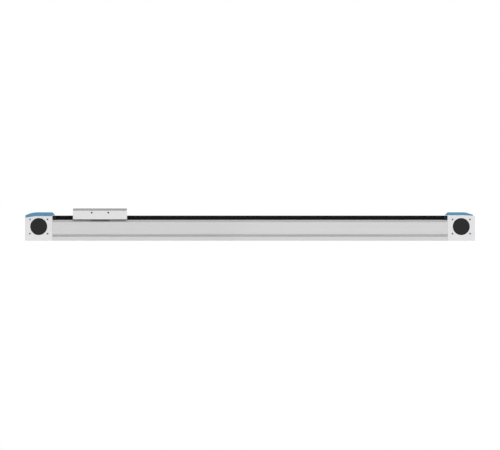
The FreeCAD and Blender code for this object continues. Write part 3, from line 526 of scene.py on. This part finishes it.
def on_belt(s, height):
    """X and Z at s from the drive pulley's top, out and round, and height above the pitch line."""
    radius = pitch_radius + height
    if s < 0:
        return -axle_x - s, axle_z + radius
    if s < half_turn:
        angle = s / pitch_radius
        return -axle_x - radius * math.sin(angle), axle_z + radius * math.cos(angle)
    if s < half_turn + span:
        return -axle_x + s - half_turn, axle_z - radius
    if s < loop_end:
        angle = (s - half_turn - span) / pitch_radius
        return axle_x + radius * math.sin(angle), axle_z - radius * math.cos(angle)
    return axle_x - (s - loop_end), axle_z + radius


def belt_stations(s_from, s_to):
    """Places along s where the toothed side bends, each with the height of that side."""
    stations = [(s_from, root_height)]
    first = math.ceil((s_from + TOOTH_ROOT / 2) / PITCH)
    last = math.floor((s_to - TOOTH_ROOT / 2) / PITCH)
    low = root_height - TOOTH_HEIGHT
    for k in range(first, last + 1):
        s = k * PITCH
        stations += [(s - TOOTH_ROOT / 2, root_height), (s - TOOTH_TIP / 2, low)]
        stations += [(s + TOOTH_TIP / 2, low), (s + TOOTH_ROOT / 2, root_height)]
    return stations + [(s_to, root_height)]


def belt_section(s, inner):
    """Corners of the belt cut through at s, where its toothed side lies at the inner height."""
    half = BELT_WIDTH / 2
    shoulder = back_height - BACK_EDGE
    corners = []
    for height, y in [
        (back_height, half - BACK_EDGE), (shoulder, half), (inner, half),
        (inner, -half), (shoulder, -half), (back_height, BACK_EDGE - half),
    ]:
        x, z = on_belt(s, height)
        corners.append((x, y, z))
    return corners


def belt_piece(name, s_from, s_to):
    """Length of the belt, skinned from section to section and closed at both ends."""
    sections = [belt_section(s, inner) for s, inner in belt_stations(s_from, s_to)]
    sides = len(sections[0])
    last = sides * (len(sections) - 1)
    faces = []
    for start in range(0, last, sides):
        for j in range(sides):
            a, b = start + j, start + (j + 1) % sides
            faces.append((a, b, b + sides, a + sides))
    faces.append(tuple(range(sides - 1, -1, -1)))
    faces.append(tuple(range(last, last + sides)))
    mesh = bpy.data.meshes.new(name)
    mesh.from_pydata([corner for section in sections for corner in section], [], faces)
    mesh.materials.append(belt_polyurethane)
    piece = bpy.data.objects.new(name, mesh)
    bpy.context.scene.collection.objects.link(piece)
    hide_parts("toothed_belt")
    return piece


left_run = belt_piece("belt_left_run", -(left_clamp_inner + axle_x), 0.0)
right_run = belt_piece("belt_right_run", loop_end, loop_end + axle_x - right_clamp_inner)
loop = belt_piece("belt_loop", 0.0, loop_end)
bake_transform(left_run)
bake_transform(right_run)
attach(loop, "axis_frame")


# Studio
# A pale floor that keeps a soft shadow, white surroundings that darken overhead and are as pale as
# the floor below it, a wide lamp above, and a camera level with the axis without perspective.

FLOOR_HALF = 14.0
FLOOR_GLOW = 0.75
OVERHEAD_FALL = 10
BELOW_FLOOR = -0.01
BELOW_FLOOR_SHADE = 0.052
LAMP_PLACE = (0.3, -0.6, 1.8)
LAMP_LENGTH = 2.4
LAMP_WIDTH = 1.2
LAMP_POWER = 8.0
CAMERA_DISTANCE = 7.0
CAMERA_REACH = 60.0
FRAME_WIDTH = 1.2
FRAME_CENTRE_Z = 0.0377

paper, shade = new_finish("white_paper")
tint = between(shade, even_grain(shade, 60.0), (0.86, 0.86, 0.86), (0.90, 0.90, 0.90))
matte = shade.node("BsdfDiffuse", {}, {"Color": tint})
glow = shade.node("Emission", {}, {"Color": (1, 1, 1), "Strength": 1.0})
camera_ray = shade.node("LightPath", {}, {}, "Is Camera Ray")
glossy_ray = shade.node("LightPath", {}, {}, "Is Glossy Ray")
clear_ray = shade.node("LightPath", {}, {}, "Is Transmission Ray")
glowing = FLOOR_GLOW * (camera_ray + glossy_ray + clear_ray)
mixed = shade.node("MixShader", {}, {0: glowing, 1: matte, 2: glow})
shade.node("OutputMaterial", {}, {"Surface": mixed})

floor_mesh = bpy.data.meshes.new("floor")
corners = [(-1, -1), (1, -1), (1, 1), (-1, 1)]
floor_points = [(x * FLOOR_HALF, y * FLOOR_HALF, 0) for x, y in corners]
floor_mesh.from_pydata(floor_points, [], [(0, 1, 2, 3)])
floor_mesh.materials.append(paper)
floor = bpy.data.objects.new("floor", floor_mesh)
bpy.context.scene.collection.objects.link(floor)

world = bpy.data.worlds.new("white_room")
bpy.context.scene.world = world
world.use_nodes = True
world.node_tree.nodes.clear()
room = Wire(world.node_tree)
direction = room.node("TexCoord", {}, {}, "Generated")
height = room.node("SeparateXYZ", {}, {"Vector": direction}, "Z")
below = room.node("Math", {"operation": "LESS_THAN"}, {0: height, 1: BELOW_FLOOR})
strength = 1.0 - height ** OVERHEAD_FALL - BELOW_FLOOR_SHADE * below
backdrop = room.node("Background", {}, {"Color": (1, 1, 1), "Strength": strength})
room.node("OutputWorld", {}, {"Surface": backdrop})

lamp_data = bpy.data.lights.new("overhead_lamp", "AREA")
lamp_data.shape = "RECTANGLE"
lamp_data.size = LAMP_LENGTH
lamp_data.size_y = LAMP_WIDTH
lamp_data.energy = LAMP_POWER
lamp = bpy.data.objects.new("overhead_lamp", lamp_data)
lamp.location = LAMP_PLACE
lamp.rotation_euler = (math.atan2(-LAMP_PLACE[1], LAMP_PLACE[2]), 0, 0)
lamp.visible_glossy = False
bpy.context.scene.collection.objects.link(lamp)

camera_data = bpy.data.cameras.new("camera")
camera_data.type = "ORTHO"
camera_data.ortho_scale = FRAME_WIDTH
camera_data.clip_end = CAMERA_REACH
camera = bpy.data.objects.new("camera", camera_data)
camera.location = (0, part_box("drive_housing")[0].y - CAMERA_DISTANCE, FRAME_CENTRE_Z)
camera.rotation_euler = (math.pi / 2, 0, 0)
bpy.context.scene.collection.objects.link(camera)
bpy.context.scene.camera = camera
bpy.context.scene.view_settings.view_transform = "Standard"
